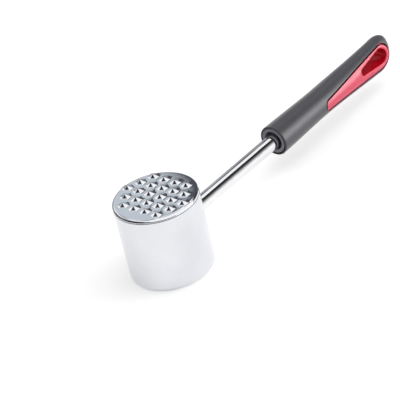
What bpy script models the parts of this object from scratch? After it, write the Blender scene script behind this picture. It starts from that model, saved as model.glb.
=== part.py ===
"""Meat mallet with a toothed and a smooth striking face.

Metres, +Z up. The origin is the middle of the smooth striking face, +Z runs
up the head to the toothed face and +X runs along the handle to its tip.
"""

from math import asin, cos, hypot, pi, radians, sin, sqrt

import bmesh
import bpy
from mathutils import Matrix, Vector

# Clearances and cutting
FIT_GAP = 0.0003            # space left between two pieces that touch
CUT_OVERRUN = 0.004         # how far a cutter runs past the face it opens

# Head: a hollow cast body with a floor that strikes and a wall round it
HEAD_DIAMETER = 0.054
HEAD_BODY_HEIGHT = 0.0499
HEAD_WALL = 0.005
HEAD_FLOOR = 0.008
HEAD_EDGE_RADIUS = 0.002
HEAD_INNER_RADIUS = 0.003

# Toothed plate that closes the head
PLATE_RIM_LAND = 0.0003     # straight edge left under the rounded rim
PLATE_SPIGOT_DEPTH = 0.005

# Teeth, in staggered rows that run across the handle's direction
TOOTH_PITCH = 0.0089        # from tooth to tooth along a row
TOOTH_ROW_SPACING = 0.0081
TOOTH_ROW_SHIFT = 0.00073   # sideways step of each row, over and above the stagger
TOOTH_VALLEY = 0.0014       # flat metal between the feet of two teeth
TOOTH_HEIGHT = 0.0029
TOOTH_TIP_WIDTH = 0.0007
TOOTH_FOOT_DEPTH = 0.0006   # how deep a tooth's foot runs into the plate
TOOTH_FIELD_EDGE = 0.0008   # plain metal outside the outermost teeth
TOOTH_SIDES = 6

# Rod
ROD_DIAMETER = 0.010
ROD_AXIS_HEIGHT = 0.024
ROD_SOCKET_DEPTH = 0.0058
ROD_END_CHAMFER = 0.0005
ROD_FREE_LENGTH = 0.0845    # bare rod between head and grip
ROD_TAIL_WALL = 0.0098      # core left between the rod's tail and the hanging hole
ROD_GROOVE_COUNT = 3
ROD_GROOVE_WIDTH = 0.004
ROD_GROOVE_DEPTH = 0.001
ROD_GROOVE_PITCH = 0.012
ROD_FLAT_LENGTH = 0.014     # two flats at the tail stop the rod turning
ROD_FLAT_WIDTH = 0.008      # across those flats
ROD_TAPPING_SPARE = 0.0055  # depth of the tapped hole past the screw's tip

# Boss inside the head that carries the rod's socket and the screw
BOSS_DIAMETER = 0.018
BOSS_WEB = 0.007            # metal between the socket's floor and the boss's face

# Screw and lock washer
SCREW_DIAMETER = 0.006
SCREW_LENGTH = 0.022
SCREW_HEAD_DIAMETER = 0.010
SCREW_HEAD_HEIGHT = 0.006
SCREW_HEAD_CHAMFER = 0.0005
SCREW_KEY_WIDTH = 0.005
SCREW_KEY_DEPTH = 0.003
SCREW_KEY_SIDES = 6
WASHER_OUTER_DIAMETER = 0.0105
WASHER_THICKNESS = 0.0016
WASHER_SPLIT = 0.0009

# Grip: round in front, drawn in at the waist, tall and flat at the tail
GRIP_LENGTH = 0.128
GRIP_FRONT_DIAMETER = 0.0208
GRIP_WAIST_DISTANCE = 0.050     # from the grip's front
GRIP_WAIST_HEIGHT = 0.0192
GRIP_WAIST_THICKNESS = 0.0189
GRIP_PADDLE_HEIGHT = 0.0256
GRIP_PADDLE_THICKNESS = 0.0164
GRIP_PADDLE_DROP = 0.001        # the belly hangs below the rod's axis
GRIP_TIP_LIFT = 0.0009
GRIP_END_ROUNDING = 0.0135      # length of the round end, seen from the side
GRIP_END_THINNING = 0.0121      # length of the round end, seen from above
GRIP_FRONT_ROUNDING = 0.0007
GRIP_WALL = 0.002

# Shape numbers of the grip's loft, without a unit
PADDLE_EASING = 1.3
END_SQUARENESS = 3.1
FLANK_CROWN = 1.75
ROUND_CROWN = 2.0

# Dished collar in the grip's mouth
COLLAR_DIAMETER = 0.0184
COLLAR_THICKNESS = 0.0042
COLLAR_RECESS = 0.0003
COLLAR_DISH = 0.0006
COLLAR_EDGE = 0.0005

# Red panel: the core's face that fills the teardrop window on each side
PANEL_START = 0.047             # narrow end, from the grip's front
PANEL_NARROW_RADIUS = 0.0039
PANEL_RIM = 0.0038              # grip left above and below the wide end
PANEL_END_MARGIN = 0.006        # grip left behind the wide end
PANEL_END_ROUNDING = 0.0075
PANEL_DROP = 0.0003

# Hanging hole through the core
HOLE_LENGTH = 0.0293
HOLE_NARROW_RADIUS = 0.0024
HOLE_RIM = 0.0036               # panel left above and below the wide end
HOLE_END_WALL = 0.0032          # panel left behind the wide end
HOLE_LIFT = 0.0008
HOLE_LIP = 0.0011               # flare at each mouth

# Facets
HEAD_FACETS = 80
ROD_FACETS = 40
BOSS_FACETS = 48
SMALL_FACETS = 32
GRIP_FACETS = 40
CORE_FACETS = 28
GRIP_STATIONS = 14
END_STATIONS = 12
EDGE_STEPS = 5
SHARP_ANGLE = radians(32.0)
MERGE_DISTANCE = 0.00001

HEAD_RADIUS = HEAD_DIAMETER / 2
HEAD_BORE_RADIUS = HEAD_RADIUS - HEAD_WALL
PLATE_BASE = HEAD_BODY_HEIGHT + FIT_GAP
PLATE_TOP = PLATE_BASE + PLATE_RIM_LAND + HEAD_EDGE_RADIUS
TOOTH_WIDTH = TOOTH_PITCH - TOOTH_VALLEY
TOOTH_FIELD_RADIUS = HEAD_RADIUS - TOOTH_FIELD_EDGE - TOOTH_WIDTH / 2
GRIP_FRONT = HEAD_RADIUS + ROD_FREE_LENGTH
GRIP_END = GRIP_FRONT + GRIP_LENGTH
GRIP_WAIST = GRIP_FRONT + GRIP_WAIST_DISTANCE
GRIP_SHOULDER = GRIP_END - GRIP_END_ROUNDING
PANEL_END = GRIP_END - PANEL_END_MARGIN
PANEL_WIDE_HALF_HEIGHT = GRIP_PADDLE_HEIGHT / 2 - PANEL_RIM
HOLE_END = PANEL_END - HOLE_END_WALL
HOLE_START = HOLE_END - HOLE_LENGTH
HOLE_WIDE_RADIUS = PANEL_WIDE_HALF_HEIGHT - HOLE_RIM
ROD_RADIUS = ROD_DIAMETER / 2
ROD_START = HEAD_RADIUS - ROD_SOCKET_DEPTH
ROD_END = HOLE_START - ROD_TAIL_WALL
SOCKET_FLOOR = ROD_START - FIT_GAP
BOSS_FACE = SOCKET_FLOOR - BOSS_WEB
WASHER_FACE = BOSS_FACE - FIT_GAP
SCREW_SEAT = WASHER_FACE - WASHER_THICKNESS - FIT_GAP
SCREW_TIP = SCREW_SEAT + SCREW_LENGTH
SCREW_RADIUS = SCREW_DIAMETER / 2
SCREW_HOLE_RADIUS = SCREW_RADIUS + FIT_GAP
COLLAR_BACK = GRIP_FRONT + COLLAR_RECESS + COLLAR_THICKNESS
CORE_FRONT = COLLAR_BACK + FIT_GAP


def clear_scene():
    """Remove every object that the scene holds."""
    for item in list(bpy.data.objects):
        bpy.data.objects.remove(item, do_unlink=True)


def make_collection(name):
    """Return a new collection linked to the scene."""
    collection = bpy.data.collections.new(name)
    bpy.context.scene.collection.children.link(collection)
    return collection


def make_material(name, colour, roughness, metallic):
    """Return a Principled material with the piece's colour."""
    material = bpy.data.materials.new(name)
    material.use_nodes = True
    shader = material.node_tree.nodes["Principled BSDF"]
    shader.inputs["Base Color"].default_value = (*colour, 1.0)
    shader.inputs["Roughness"].default_value = roughness
    shader.inputs["Metallic"].default_value = metallic
    return material


def add_object(name, mesh, collection, material=None):
    """Place a mesh in a collection as a named object."""
    item = bpy.data.objects.new(name, mesh)
    collection.objects.link(item)
    if material is not None:
        mesh.materials.append(material)
    return item


def mark_cutter(item):
    """Show a helper shape as wire and keep it out of the render."""
    item.hide_render = True
    item.display_type = 'WIRE'
    return item


def mesh_from(name, build):
    """Return a mesh that the build function fills."""
    mesh = bpy.data.meshes.new(name)
    shape = bmesh.new()
    build(shape)
    shape.to_mesh(mesh)
    shape.free()
    return mesh


def turned(name, profile, facets, collection, material=None):
    """Spin a profile of (radius, height) points, listed down its outer side."""
    mesh = bpy.data.meshes.new(name)
    points = [(radius, 0.0, height) for radius, height in profile]
    edges = [(step, step + 1) for step in range(len(points) - 1)]
    mesh.from_pydata(points, edges, [])
    item = add_object(name, mesh, collection, material)
    screw = item.modifiers.new("turn", 'SCREW')
    screw.steps = facets
    screw.render_steps = facets
    screw.use_merge_vertices = True
    screw.merge_threshold = MERGE_DISTANCE
    screw.use_smooth_shade = True
    return item


def lay_along_handle(item):
    """Turn a piece spun about Z so that its axis is the rod's axis."""
    item.rotation_euler = (0.0, pi / 2, 0.0)
    item.location = (0.0, 0.0, ROD_AXIS_HEIGHT)
    return item


def combine(item, other, operation):
    """Add an exact Boolean of another object to an item."""
    boolean = item.modifiers.new(other.name, 'BOOLEAN')
    boolean.operation = operation
    boolean.solver = 'EXACT'
    boolean.object = other


def smooth(item):
    """Shade a made mesh smooth apart from its sharp edges."""
    item.data.shade_smooth()
    item.data.set_sharp_from_angle(angle=SHARP_ANGLE)


def quarter_arc(centre, radius, start, steps):
    """Points of a quarter circle that turns clockwise from a start angle."""
    points = []
    for step in range(steps + 1):
        angle = start - step / steps * pi / 2
        points.append((centre[0] + radius * cos(angle), centre[1] + radius * sin(angle)))
    return points


def head_profile():
    """Section of the hollow body: inside floor, wall, rim, outside, striking face."""
    fillet = HEAD_INNER_RADIUS
    corner = (HEAD_BORE_RADIUS - fillet, HEAD_FLOOR + fillet)
    inside = quarter_arc(corner, fillet, 0.0, EDGE_STEPS)
    inside.reverse()
    edge = (HEAD_RADIUS - HEAD_EDGE_RADIUS, HEAD_EDGE_RADIUS)
    outside = quarter_arc(edge, HEAD_EDGE_RADIUS, 0.0, EDGE_STEPS)
    rim = [(HEAD_BORE_RADIUS, HEAD_BODY_HEIGHT), (HEAD_RADIUS, HEAD_BODY_HEIGHT)]
    return [(0.0, HEAD_FLOOR)] + inside + rim + outside + [(0.0, 0.0)]


def plate_profile():
    """Section of the toothed plate: face, rounded rim, seat and spigot."""
    edge = (HEAD_RADIUS - HEAD_EDGE_RADIUS, PLATE_TOP - HEAD_EDGE_RADIUS)
    rim = quarter_arc(edge, HEAD_EDGE_RADIUS, pi / 2, EDGE_STEPS)
    spigot = HEAD_BORE_RADIUS - FIT_GAP
    foot = PLATE_BASE - PLATE_SPIGOT_DEPTH
    seat = [(HEAD_RADIUS, PLATE_BASE), (spigot, PLATE_BASE), (spigot, foot), (0.0, foot)]
    return [(0.0, PLATE_TOP)] + rim + seat


def tooth_places():
    """Centres of the teeth: every lattice point whose tooth fits inside the field."""
    places = []
    reach = int(TOOTH_FIELD_RADIUS / TOOTH_ROW_SPACING) + 1
    for row in range(-reach, reach + 1):
        along = row * TOOTH_ROW_SPACING
        shift = TOOTH_PITCH / 2 if row % 2 == 0 else 0.0
        for index in range(-reach, reach + 1):
            across = index * TOOTH_PITCH + shift + row * TOOTH_ROW_SHIFT
            if hypot(along, across) <= TOOTH_FIELD_RADIUS:
                places.append((along, across))
    return places


def build_teeth(shape):
    """Six-sided blunt pyramids, flats turned to the neighbouring teeth."""
    corner_ratio = 1 / cos(pi / TOOTH_SIDES)
    slope = (TOOTH_WIDTH - TOOTH_TIP_WIDTH) / TOOTH_HEIGHT
    foot_width = TOOTH_WIDTH + slope * TOOTH_FOOT_DEPTH
    depth = TOOTH_HEIGHT + TOOTH_FOOT_DEPTH
    middle = PLATE_TOP - TOOTH_FOOT_DEPTH + depth / 2
    for along, across in tooth_places():
        turn = Matrix.Rotation(pi / TOOTH_SIDES, 4, 'Z')
        bmesh.ops.create_cone(
            shape,
            cap_ends=True,
            segments=TOOTH_SIDES,
            radius1=foot_width / 2 * corner_ratio,
            radius2=TOOTH_TIP_WIDTH / 2 * corner_ratio,
            depth=depth,
            matrix=Matrix.Translation((along, across, middle)) @ turn,
        )


def rod_profile(clearance, start, end):
    """Section of the rod, grooved in the grip, grown by a clearance all round."""
    radius = ROD_RADIUS + clearance
    chamfer = ROD_END_CHAMFER
    points = [(0.0, end), (radius - chamfer, end), (radius, end - chamfer)]
    first = ROD_END - ROD_FLAT_LENGTH - ROD_GROOVE_PITCH
    neck = radius - ROD_GROOVE_DEPTH
    half = ROD_GROOVE_WIDTH / 2 - clearance
    for groove in range(ROD_GROOVE_COUNT):
        middle = first - groove * ROD_GROOVE_PITCH
        points.append((radius, middle + half))
        points.append((neck, middle + half))
        points.append((neck, middle - half))
        points.append((radius, middle - half))
    points.append((radius, start + chamfer))
    points.append((radius - chamfer, start))
    points.append((0.0, start))
    return points


def flat_cutter(name, clearance, collection):
    """Two blocks that mill the flats at the rod's tail."""
    start = ROD_END - ROD_FLAT_LENGTH + clearance
    length = ROD_FLAT_LENGTH + CUT_OVERRUN

    def build(shape):
        for side in (-1, 1):
            inner = ROD_FLAT_WIDTH / 2 + clearance
            place = (start + length / 2, side * (inner + ROD_RADIUS / 2), ROD_AXIS_HEIGHT)
            size = Matrix.Diagonal((length, ROD_RADIUS, ROD_DIAMETER + CUT_OVERRUN, 1.0))
            bmesh.ops.create_cube(shape, size=1.0, matrix=Matrix.Translation(place) @ size)

    return mark_cutter(add_object(name, mesh_from(name, build), collection))


def round_cutter(name, radius, start, end, facets, collection):
    """Cylinder on the rod's axis between two distances from the head's axis."""
    def build(shape):
        middle = Matrix.Translation(((start + end) / 2, 0.0, ROD_AXIS_HEIGHT))
        turn = Matrix.Rotation(pi / 2, 4, 'Y')
        bmesh.ops.create_cone(
            shape,
            cap_ends=True,
            segments=facets,
            radius1=radius,
            radius2=radius,
            depth=end - start,
            matrix=middle @ turn,
        )

    return mark_cutter(add_object(name, mesh_from(name, build), collection))


def ease(share, power):
    """Slow start and a straight run out, between 0 and 1."""
    return min(max(share, 0.0), 1.0) ** power


def swing(share):
    """Slow start and slow end, between 0 and 1."""
    share = min(max(share, 0.0), 1.0)
    return share * share * (3 - 2 * share)


def blend(first, second, share):
    """Value between two values at a share."""
    return first + (second - first) * share


def grip_section(distance, inset):
    """Half height, half thickness and middle height of the grip at a distance."""
    if distance < GRIP_WAIST:
        share = swing((distance - GRIP_FRONT) / GRIP_WAIST_DISTANCE)
        half_height = blend(GRIP_FRONT_DIAMETER, GRIP_WAIST_HEIGHT, share) / 2
        half_thickness = blend(GRIP_FRONT_DIAMETER, GRIP_WAIST_THICKNESS, share) / 2
        middle = 0.0
    else:
        along = (distance - GRIP_WAIST) / (GRIP_SHOULDER - GRIP_WAIST)
        share = ease(along, PADDLE_EASING)
        half_height = blend(GRIP_WAIST_HEIGHT, GRIP_PADDLE_HEIGHT, share) / 2
        half_thickness = blend(GRIP_WAIST_THICKNESS, GRIP_PADDLE_THICKNESS, swing(along)) / 2
        middle = -GRIP_PADDLE_DROP * swing(along)
    round_share = (distance - GRIP_SHOULDER) / (GRIP_END_ROUNDING - inset)
    thin_start = GRIP_END - GRIP_END_THINNING
    thin_share = (distance - thin_start) / (GRIP_END_THINNING - inset)
    round_share = min(max(round_share, 0.0), 1.0)
    thin_share = min(max(thin_share, 0.0), 1.0)
    middle += (GRIP_PADDLE_DROP + GRIP_TIP_LIFT) * ease(round_share, 1.0)
    half_height = (half_height - inset) * (1 - round_share ** 2) ** (1 / END_SQUARENESS)
    half_thickness = (half_thickness - inset) * sqrt(1 - thin_share ** 2)
    return half_height, half_thickness, middle


def section_ring(distance, half_height, half_thickness, middle, facets, crown):
    """Closed ring of points; a crown under 2 gives the flanks a soft ridge."""
    points = []
    for step in range(facets):
        angle = (step + 0.5) / facets * 2 * pi
        side, up = cos(angle), sin(angle)
        size = (abs(side) ** crown + abs(up) ** crown) ** (-1 / crown)
        across = half_thickness * side * size
        height = ROD_AXIS_HEIGHT + middle + half_height * up * size
        points.append(Vector((distance, across, height)))
    return points


def skin(shape, rings, tip):
    """Close a row of rings: a flat cap at the front and a point at the tip."""
    rows = [[shape.verts.new(point) for point in ring] for ring in rings]
    count = len(rows[0])
    for first, second in zip(rows, rows[1:]):
        for step in range(count):
            following = (step + 1) % count
            corners = (first[step], second[step], second[following], first[following])
            shape.faces.new(corners)
    point = shape.verts.new(tip)
    last = rows[-1]
    for step in range(count):
        shape.faces.new((last[step], point, last[(step + 1) % count]))
    shape.faces.new(rows[0])
    bmesh.ops.recalc_face_normals(shape, faces=shape.faces[:])


def grip_distances(start, inset):
    """Stations along the grip, closer together round its end."""
    distances = []
    for step in range(GRIP_STATIONS):
        distances.append(blend(start, GRIP_SHOULDER, step / GRIP_STATIONS))
    reach = GRIP_END_ROUNDING - inset
    for step in range(END_STATIONS):
        distances.append(GRIP_SHOULDER + reach * sin(step / END_STATIONS * pi / 2))
    return distances


def grip_mesh(name, inset, start, facets, crown, front_rounding):
    """Loft of the grip, drawn in all round by an inset."""
    def build(shape):
        rings = []
        if front_rounding > 0.0:
            for step in range(EDGE_STEPS):
                angle = step / EDGE_STEPS * pi / 2
                distance = start + front_rounding * (1 - cos(angle))
                trim = front_rounding * (1 - sin(angle))
                half_height, half_thickness, middle = grip_section(distance, inset)
                size = (half_height - trim, half_thickness - trim)
                rings.append(section_ring(distance, *size, middle, facets, crown))
        for distance in grip_distances(start + front_rounding, inset):
            half_height, half_thickness, middle = grip_section(distance, inset)
            size = (half_height, half_thickness)
            rings.append(section_ring(distance, *size, middle, facets, crown))
        tip_distance = GRIP_END - inset
        tip_middle = grip_section(tip_distance, inset)[2]
        skin(shape, rings, Vector((tip_distance, 0.0, ROD_AXIS_HEIGHT + tip_middle)))

    return mesh_from(name, build)


def panel_outline(grow):
    """Side view of the red panel, as (distance, height) points, grown by a margin."""
    points = []
    narrow = PANEL_NARROW_RADIUS
    centre = GRIP_FRONT + PANEL_START + narrow
    wide_start = PANEL_END - PANEL_END_ROUNDING
    tilt = asin((PANEL_WIDE_HALF_HEIGHT - narrow) / (wide_start - centre))
    steps = 2 * EDGE_STEPS
    for step in range(steps + 1):
        angle = pi / 2 + tilt + step / steps * (pi - 2 * tilt)
        radius = narrow + grow
        points.append((centre + radius * cos(angle), radius * sin(angle)))
    reach = PANEL_END_ROUNDING + grow
    half = PANEL_WIDE_HALF_HEIGHT + grow
    for step in range(2 * steps + 1):
        angle = -pi / 2 + step / (2 * steps) * pi
        power = 2 / END_SQUARENESS
        height = half * abs(sin(angle)) ** power
        if angle < 0:
            height = -height
        points.append((wide_start + reach * cos(angle), height))
    lift = ROD_AXIS_HEIGHT - PANEL_DROP
    return [(distance, height + lift) for distance, height in points]


def hole_outline(grow):
    """Side view of the hanging hole, as (distance, height) points, grown by a margin."""
    points = []
    narrow = HOLE_NARROW_RADIUS
    wide = HOLE_WIDE_RADIUS
    narrow_centre = HOLE_START + narrow
    wide_centre = HOLE_END - wide
    tilt = asin((wide - narrow) / (wide_centre - narrow_centre))
    steps = 2 * EDGE_STEPS
    for step in range(steps + 1):
        angle = pi / 2 + tilt + step / steps * (pi - 2 * tilt)
        radius = narrow + grow
        points.append((narrow_centre + radius * cos(angle), radius * sin(angle)))
    for step in range(2 * steps + 1):
        angle = -pi / 2 - tilt + step / (2 * steps) * (pi + 2 * tilt)
        radius = wide + grow
        points.append((wide_centre + radius * cos(angle), radius * sin(angle)))
    lift = ROD_AXIS_HEIGHT + HOLE_LIFT
    return [(distance, height + lift) for distance, height in points]


def side_prism(name, layers, collection):
    """Solid through the grip from side to side, from outlines at set widths."""
    def build(shape):
        rows = []
        for across, outline in layers:
            rows.append([shape.verts.new((x, across, z)) for x, z in outline])
        count = len(rows[0])
        for first, second in zip(rows, rows[1:]):
            for step in range(count):
                following = (step + 1) % count
                corners = (first[step], second[step], second[following], first[following])
                shape.faces.new(corners)
        shape.faces.new(rows[0])
        shape.faces.new(rows[-1])
        bmesh.ops.recalc_face_normals(shape, faces=shape.faces[:])

    return mark_cutter(add_object(name, mesh_from(name, build), collection))


def make_head(parts, helpers, metal):
    """Hollow body with the boss that holds the rod."""
    body = turned("head_shell", head_profile(), HEAD_FACETS, parts, metal)
    boss = round_cutter(
        "head_boss", BOSS_DIAMETER / 2, BOSS_FACE, HEAD_RADIUS - HEAD_WALL / 2, BOSS_FACETS, helpers
    )
    socket = round_cutter(
        "head_socket", ROD_RADIUS + FIT_GAP, SOCKET_FLOOR, HEAD_RADIUS + CUT_OVERRUN, ROD_FACETS, helpers
    )
    passage = round_cutter(
        "head_screw_hole",
        SCREW_HOLE_RADIUS,
        BOSS_FACE - CUT_OVERRUN,
        SOCKET_FLOOR + CUT_OVERRUN / 2,
        SMALL_FACETS,
        helpers,
    )
    combine(body, boss, 'UNION')
    combine(body, socket, 'DIFFERENCE')
    combine(body, passage, 'DIFFERENCE')
    return body


def make_plate(parts, helpers, metal):
    """Plate with its field of teeth."""
    plate = turned("toothed_plate", plate_profile(), HEAD_FACETS, parts, metal)
    teeth = mark_cutter(add_object("teeth", mesh_from("teeth", build_teeth), helpers))
    combine(plate, teeth, 'UNION')
    return plate


def make_rod(parts, helpers, metal):
    """Rod with keying grooves, tail flats and a tapped hole for the screw."""
    profile = rod_profile(0.0, ROD_START, ROD_END)
    rod = lay_along_handle(turned("rod", profile, ROD_FACETS, parts, metal))
    flats = flat_cutter("rod_flats", 0.0, helpers)
    tapping = round_cutter(
        "rod_tapping",
        SCREW_HOLE_RADIUS,
        ROD_START - CUT_OVERRUN,
        SCREW_TIP + ROD_TAPPING_SPARE,
        SMALL_FACETS,
        helpers,
    )
    combine(rod, flats, 'DIFFERENCE')
    combine(rod, tapping, 'DIFFERENCE')
    return rod


def make_screw(parts, helpers, metal):
    """Socket-head screw that enters the rod from inside the head."""
    head = SCREW_HEAD_DIAMETER / 2
    chamfer = SCREW_HEAD_CHAMFER
    top = SCREW_SEAT - SCREW_HEAD_HEIGHT
    tip = SCREW_TIP
    profile = [
        (0.0, tip),
        (SCREW_RADIUS - chamfer, tip),
        (SCREW_RADIUS, tip - chamfer),
        (SCREW_RADIUS, SCREW_SEAT),
        (head, SCREW_SEAT),
        (head, top + chamfer),
        (head - chamfer, top),
        (0.0, top),
    ]
    screw = lay_along_handle(turned("rod_screw", profile, SMALL_FACETS, parts, metal))
    key = round_cutter(
        "screw_key",
        SCREW_KEY_WIDTH / 2 / cos(pi / SCREW_KEY_SIDES),
        top - CUT_OVERRUN,
        top + SCREW_KEY_DEPTH,
        SCREW_KEY_SIDES,
        helpers,
    )
    combine(screw, key, 'DIFFERENCE')
    return screw


def make_washer(parts, helpers, metal):
    """Split washer under the screw's head."""
    outer = WASHER_OUTER_DIAMETER / 2
    inner = SCREW_HOLE_RADIUS
    near = WASHER_FACE - WASHER_THICKNESS
    profile = [(inner, near), (inner, WASHER_FACE), (outer, WASHER_FACE), (outer, near), (inner, near)]
    washer = lay_along_handle(turned("lock_washer", profile, SMALL_FACETS, parts, metal))

    def build(shape):
        place = (near + WASHER_THICKNESS / 2, 0.0, ROD_AXIS_HEIGHT + outer)
        size = (WASHER_THICKNESS + CUT_OVERRUN, WASHER_SPLIT, 2 * (outer - inner) + CUT_OVERRUN / 4)
        matrix = Matrix.Translation(place) @ Matrix.Diagonal((*size, 1.0))
        bmesh.ops.create_cube(shape, size=1.0, matrix=matrix)

    slit = mark_cutter(add_object("washer_slit", mesh_from("washer_slit", build), helpers))
    combine(washer, slit, 'DIFFERENCE')
    return washer


def make_collar(parts, plastic):
    """Dished disc that closes the grip's mouth round the rod."""
    outer = COLLAR_DIAMETER / 2
    inner = ROD_RADIUS + FIT_GAP
    front = COLLAR_BACK - COLLAR_THICKNESS
    edge = COLLAR_EDGE
    dish = front + COLLAR_DISH
    profile = [
        (inner, dish),
        (inner, COLLAR_BACK),
        (outer, COLLAR_BACK),
        (outer, front + edge),
        (outer - edge, front),
        (outer - 2 * edge, front),
        (inner, dish),
    ]
    return lay_along_handle(turned("front_collar", profile, BOSS_FACETS, parts, plastic))


def make_core(parts, helpers, plastic):
    """Red core: a body inside the grip, side panels, rod socket and hanging hole."""
    inset = GRIP_WALL + FIT_GAP
    mesh = grip_mesh("grip_core", inset, CORE_FRONT, CORE_FACETS, ROUND_CROWN, 0.0)
    core = add_object("grip_core", mesh, parts, plastic)
    smooth(core)
    panels = add_object(
        "core_panels",
        grip_mesh("core_panels", 0.0, CORE_FRONT, GRIP_FACETS, FLANK_CROWN, 0.0),
        helpers,
    )
    mark_cutter(panels)
    reach = GRIP_FRONT_DIAMETER
    block = side_prism("panel_block", [(-reach, panel_outline(0.0)), (reach, panel_outline(0.0))], helpers)
    combine(panels, block, 'INTERSECT')
    combine(core, panels, 'UNION')
    combine(core, make_hole(helpers), 'DIFFERENCE')
    start = CORE_FRONT - CUT_OVERRUN
    end = ROD_END + FIT_GAP
    socket = turned("core_socket", rod_profile(FIT_GAP, start, end), ROD_FACETS, helpers)
    mark_cutter(lay_along_handle(socket))
    combine(socket, flat_cutter("socket_flats", FIT_GAP, helpers), 'DIFFERENCE')
    combine(core, socket, 'DIFFERENCE')
    return core


def make_hole(helpers):
    """Cutter for the hanging hole, flared at both mouths."""
    reach = GRIP_FRONT_DIAMETER
    mouth = GRIP_PADDLE_THICKNESS / 2
    throat = mouth - HOLE_LIP
    flare = HOLE_LIP + (reach - mouth)
    layers = [
        (-reach, hole_outline(flare)),
        (-throat, hole_outline(0.0)),
        (throat, hole_outline(0.0)),
        (reach, hole_outline(flare)),
    ]
    return side_prism("hanging_hole", layers, helpers)


def make_grip(parts, helpers, rubber):
    """Soft shell: outer loft less the bed for the core, the mouth and the windows."""
    mesh = grip_mesh(
        "grip_shell", 0.0, GRIP_FRONT, GRIP_FACETS, ROUND_CROWN, GRIP_FRONT_ROUNDING
    )
    grip = add_object("grip_shell", mesh, parts, rubber)
    smooth(grip)
    bed_start = COLLAR_BACK - COLLAR_THICKNESS / 2
    bed_mesh = grip_mesh("core_bed", GRIP_WALL, bed_start, CORE_FACETS, ROUND_CROWN, 0.0)
    bed = mark_cutter(add_object("core_bed", bed_mesh, helpers))
    mouth = round_cutter(
        "collar_seat",
        COLLAR_DIAMETER / 2 + FIT_GAP,
        GRIP_FRONT - CUT_OVERRUN,
        COLLAR_BACK + FIT_GAP,
        BOSS_FACETS,
        helpers,
    )
    reach = GRIP_FRONT_DIAMETER
    outline = panel_outline(FIT_GAP)
    window = side_prism("panel_window", [(-reach, outline), (reach, outline)], helpers)
    combine(grip, bed, 'DIFFERENCE')
    combine(grip, mouth, 'DIFFERENCE')
    combine(grip, window, 'DIFFERENCE')
    return grip


def main():
    """Build every piece of the mallet."""
    clear_scene()
    parts = make_collection("meat_mallet")
    helpers = make_collection("meat_mallet_cutters")
    polished = make_material("polished_metal", (0.86, 0.87, 0.89), 0.08, 1.0)
    toothed = make_material("polished_teeth", (0.80, 0.82, 0.86), 0.12, 1.0)
    steel = make_material("rod_steel", (0.84, 0.84, 0.85), 0.07, 1.0)
    dark_steel = make_material("screw_steel", (0.30, 0.31, 0.33), 0.35, 1.0)
    grey_plastic = make_material("collar_grey", (0.09, 0.09, 0.11), 0.45, 0.0)
    red_plastic = make_material("core_red", (0.86, 0.10, 0.15), 0.30, 0.0)
    soft_grey = make_material("grip_soft_grey", (0.075, 0.075, 0.09), 0.55, 0.0)
    make_head(parts, helpers, polished)
    make_plate(parts, helpers, toothed)
    make_rod(parts, helpers, steel)
    make_screw(parts, helpers, dark_steel)
    make_washer(parts, helpers, dark_steel)
    make_collar(parts, grey_plastic)
    make_core(parts, helpers, red_plastic)
    make_grip(parts, helpers, soft_grey)


main()
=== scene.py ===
from math import asin, atan2, cos, hypot, pi, radians, sin, sqrt, tan

import bmesh
import bpy
from mathutils import Matrix, Vector


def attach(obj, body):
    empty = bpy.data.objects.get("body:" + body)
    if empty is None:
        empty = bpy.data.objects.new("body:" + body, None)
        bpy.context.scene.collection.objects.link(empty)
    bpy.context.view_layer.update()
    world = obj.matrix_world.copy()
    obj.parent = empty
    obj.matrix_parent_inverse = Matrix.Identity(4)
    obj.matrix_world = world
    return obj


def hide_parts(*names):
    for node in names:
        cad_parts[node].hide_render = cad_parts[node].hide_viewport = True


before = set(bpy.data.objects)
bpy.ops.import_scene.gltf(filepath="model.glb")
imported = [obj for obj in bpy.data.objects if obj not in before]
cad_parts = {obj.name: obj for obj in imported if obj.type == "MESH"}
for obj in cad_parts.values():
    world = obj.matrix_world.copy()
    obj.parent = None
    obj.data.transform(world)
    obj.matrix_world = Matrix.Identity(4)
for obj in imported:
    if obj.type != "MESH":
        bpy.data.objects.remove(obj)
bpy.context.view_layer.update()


# HEAD BODY
# A hollow cup of cast zinc with a thick striking floor, plated and polished to a mirror.
# A boss inside its wall takes the rod, and its rim carries the toothed plate.
HEAD_RADIUS = 0.027
HEAD_BODY_HEIGHT = 0.0498
HEAD_BORE_RADIUS = 0.022
HEAD_FLOOR = 0.008
HEAD_EDGE_RADIUS = 0.002
HEAD_INNER_RADIUS = 0.003
HEAD_LIP_RADIUS = 0.00025
HEAD_STEPS = 192
ROD_HEIGHT = 0.024
BOSS_FACE = 0.0139
BOSS_END = 0.0245            # inside the head's wall
BOSS_RADIUS = 0.009
SOCKET_FLOOR = 0.0209
SOCKET_CUT_END = 0.031       # outside the head
SOCKET_RADIUS = 0.0053
SCREW_HOLE_START = 0.0099    # in front of the boss
SCREW_HOLE_END = 0.0229      # inside the socket
SCREW_HOLE_RADIUS = 0.0033
RING_TOLERANCE = 0.00001
MERGE_DISTANCE = 0.000002
CLOUD_SCALE = 55.0
SMEAR_SCALE = 140.0
SMEAR_SPREAD = 1.9
SCRATCH_STRETCH = (250.0, 9000.0, 9000.0)
SCRATCH_DEPTH = 0.00002
NODE_STEP, NODE_ROW = 200, -400     # a material's nodes stand in one row under its shader


def face_outward(shape):
    """Turn all faces of a closed shape outward."""
    bmesh.ops.recalc_face_normals(shape, faces=shape.faces[:])
    if shape.calc_volume(signed=True) < 0:
        bmesh.ops.reverse_faces(shape, faces=shape.faces[:])


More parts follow.
